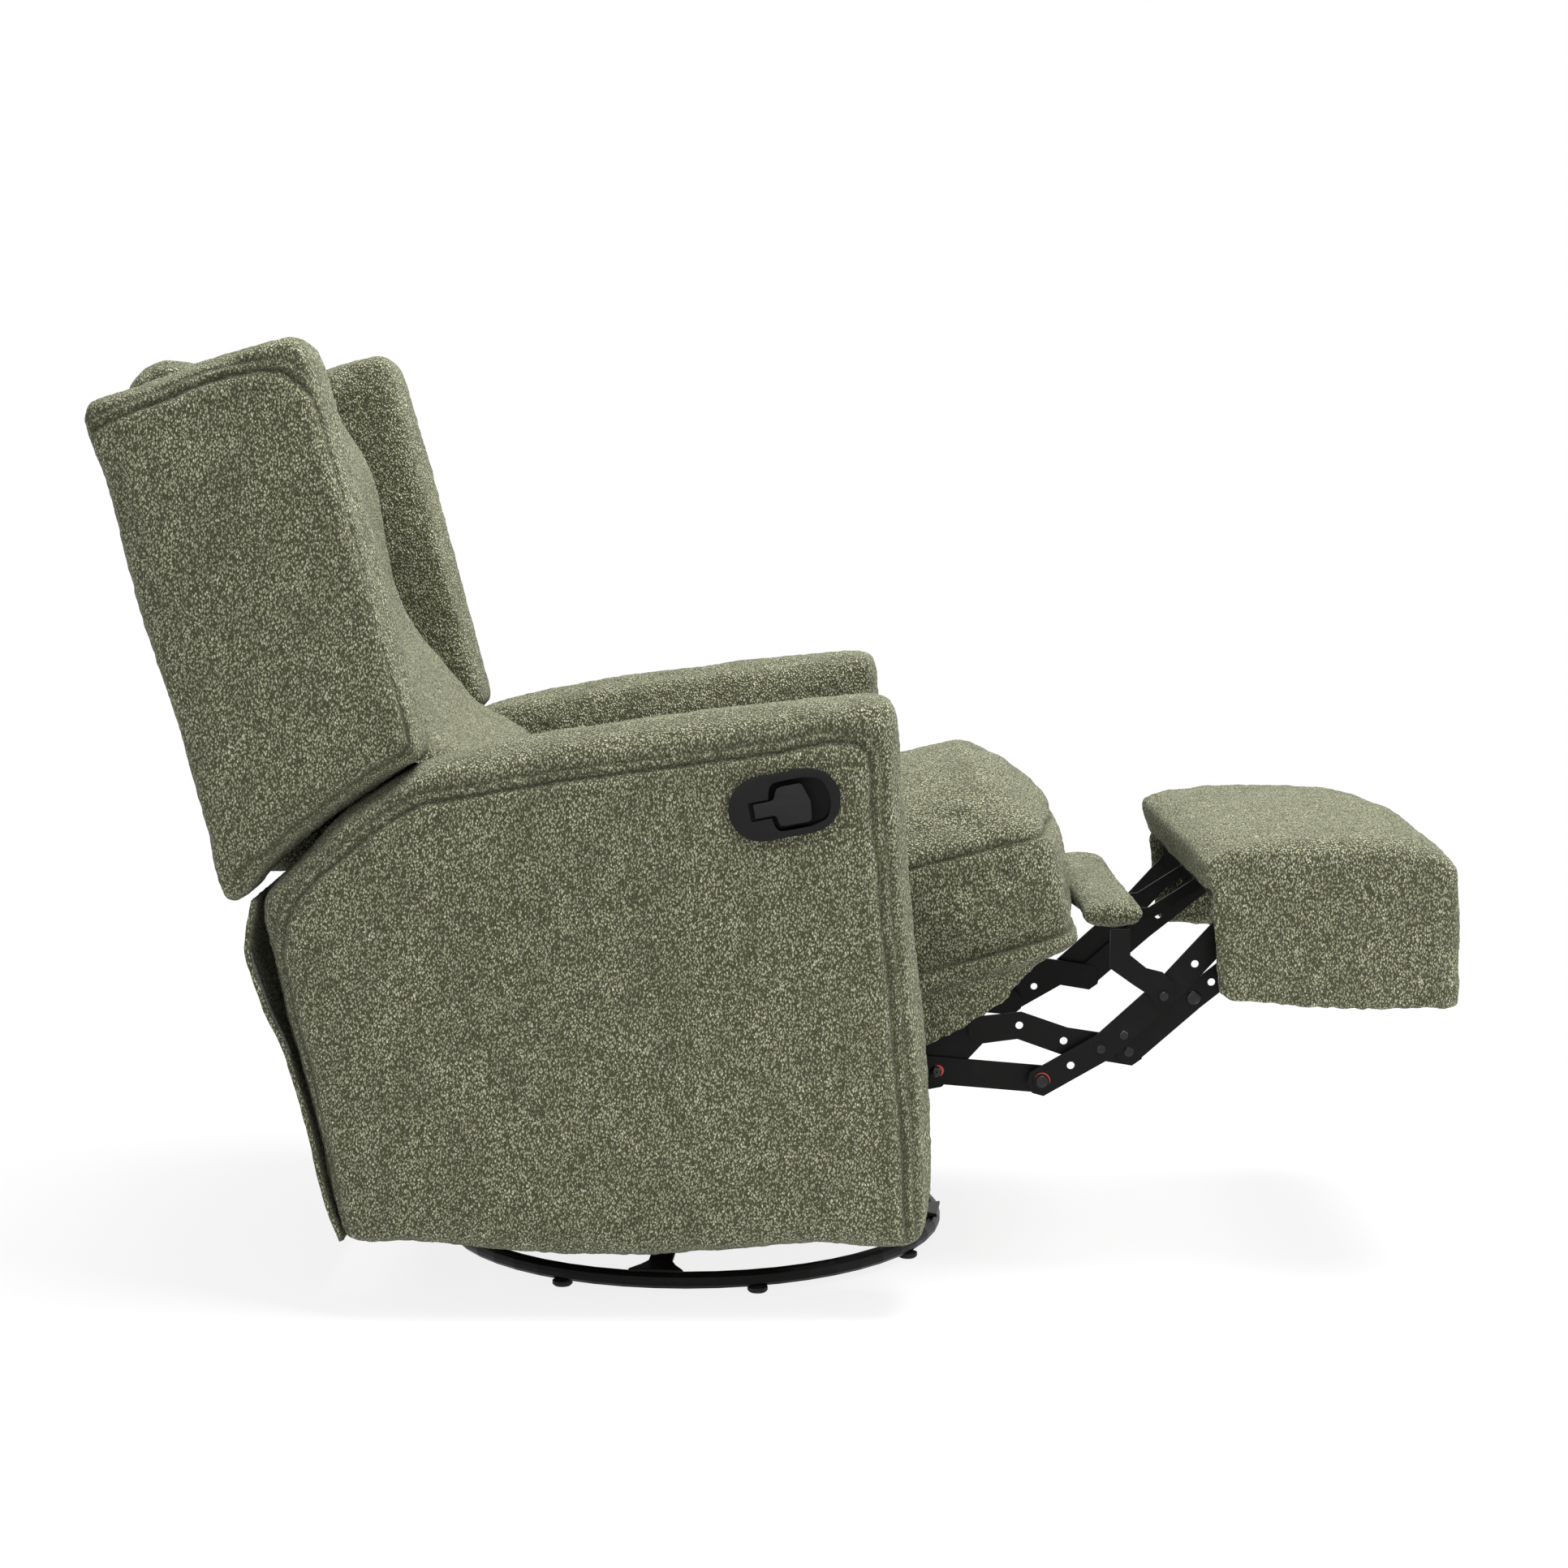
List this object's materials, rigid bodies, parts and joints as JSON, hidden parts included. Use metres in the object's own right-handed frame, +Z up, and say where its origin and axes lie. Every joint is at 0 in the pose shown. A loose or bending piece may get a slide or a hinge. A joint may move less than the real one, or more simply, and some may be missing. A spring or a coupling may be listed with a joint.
{
  "type": "swivel recliner",
  "caption": "Upholstered wingback recliner on a round swivel base, with a folding footrest, calf pad and inset release handle.",
  "frame": {"origin": "centre of the footprint of the reclined chair, on the floor", "axes": "+X the way the seat faces, +Y to the sitter's left, +Z up"},
  "size_m": [1.4164, 0.7643, 1.0112],
  "materials": {
    "fabric": "looped wool-like weave",
    "black_steel": "black powder coat",
    "black_plastic": "fine-grained matt",
    "wood": "unfinished plywood",
    "rubber": "matt"
  },
  "bodies": {
    "base": {"base_ring": "black_steel", "base_spider": "black_steel", "swivel_housing": "black_steel", "base_foot_1": "rubber", "base_foot_2": "rubber", "base_foot_3": "rubber", "base_foot_4": "rubber", "base_foot_5": "rubber", "base_foot_6": "rubber", "base_foot_7": "rubber", "base_foot_8": "rubber"},
    "chassis": {"swivel_plate": "black_steel", "cross_tube_front": "black_steel", "cross_tube_rear": "black_steel", "rear_beam": "wood", "seat_deck": "wood", "seat_cushion": "fabric", "apron_middle": "fabric", "rear_panel": "fabric", "handle_plate": "black_plastic", "riser_left": "black_steel", "riser_right": "black_steel", "side_plate_left": "black_steel", "side_plate_right": "black_steel", "side_rail_left": "wood", "side_rail_right": "wood", "hinge_post_left": "black_steel", "hinge_post_right": "black_steel", "apron_cheek_left": "fabric", "apron_cheek_right": "fabric", "side_left": "fabric", "side_right": "fabric"},
    "back": {"back_shell": "fabric", "back_cushion": "fabric", "wing_left": "fabric", "wing_right": "fabric", "hinge_bracket_left": "black_steel", "hinge_bracket_right": "black_steel"},
    "paddle": {"handle_paddle": "black_plastic"},
    "front_links": {"driving_shaft": "black_steel", "front_link_left": "black_steel", "front_link_right": "black_steel"},
    "rear_links": {"rear_link_left": "black_steel", "rear_link_right": "black_steel"},
    "long_links": {"long_link_left": "black_steel", "long_link_right": "black_steel", "calf_stop_left": "black_steel", "calf_stop_right": "black_steel"},
    "short_links": {"short_link_left": "black_steel", "short_link_right": "black_steel"},
    "footrest": {"footrest_cover": "fabric", "footrest_board": "wood", "footrest_bracket_left": "black_steel", "footrest_bracket_right": "black_steel", "calf_lug_left": "black_steel", "calf_lug_right": "black_steel"},
    "calf_pad": {"calf_pad": "fabric", "calf_arm_left": "black_steel", "calf_arm_right": "black_steel"}
  },
  "joints": [
    {"name": "swivel", "type": "hinge", "parent": "base", "child": "chassis", "pos_m": [-0.117, 0, 0.05], "axis": [0, 0, 1], "continuous": true},
    {"name": "recline", "type": "hinge", "parent": "chassis", "child": "back", "pos_m": [-0.322, 0, 0.5], "axis": [0, 1, 0], "range_deg": [0, 16]},
    {"name": "handle", "type": "hinge", "parent": "chassis", "child": "paddle", "pos_m": [-0.0393, -0.3799, 0.5346], "axis": [0.1857, 0, -0.9826], "range_deg": [0, 30], "stiffness_Nm_per_rad": 0.08, "springref_deg": -5.73},
    {"name": "footrest_fold", "type": "hinge", "parent": "chassis", "child": "front_links", "pos_m": [0.1411, 0, 0.232], "axis": [0, 1, 0], "range_deg": [0, 123.1]},
    {"name": "rear_link_turn", "type": "hinge", "parent": "chassis", "child": "rear_links", "pos_m": [0.2021, 0, 0.2762], "axis": [0, 1, 0], "range_deg": [0, 119.7]},
    {"name": "long_link_turn", "type": "hinge", "parent": "front_links", "child": "long_links", "pos_m": [0.2657, 0, 0.2214], "axis": [0, 1, 0], "range_deg": [-129.6, 0]},
    {"name": "short_link_turn", "type": "hinge", "parent": "rear_links", "child": "short_links", "pos_m": [0.3607, 0, 0.2526], "axis": [0, 1, 0], "range_deg": [-130.1, 0]},
    {"name": "footrest_turn", "type": "hinge", "parent": "long_links", "child": "footrest", "pos_m": [0.4677, 0, 0.3952], "axis": [0, 1, 0], "range_deg": [0, 96.5]},
    {"name": "calf_pad_turn", "type": "hinge", "parent": "footrest", "child": "calf_pad", "pos_m": [0.458, 0, 0.412], "axis": [0, 1, 0], "range_deg": [-148.1, 0]}
  ],
  "couplings": [
    {"joint": "rear_link_turn", "follows": "footrest_fold", "ratio": 0.9716},
    {"joint": "long_link_turn", "follows": "footrest_fold", "ratio": -1.052},
    {"joint": "short_link_turn", "follows": "footrest_fold", "ratio": -1.0561},
    {"joint": "footrest_turn", "follows": "footrest_fold", "ratio": 0.7831},
    {"joint": "calf_pad_turn", "follows": "footrest_fold", "ratio": -1.2023}
  ]
}
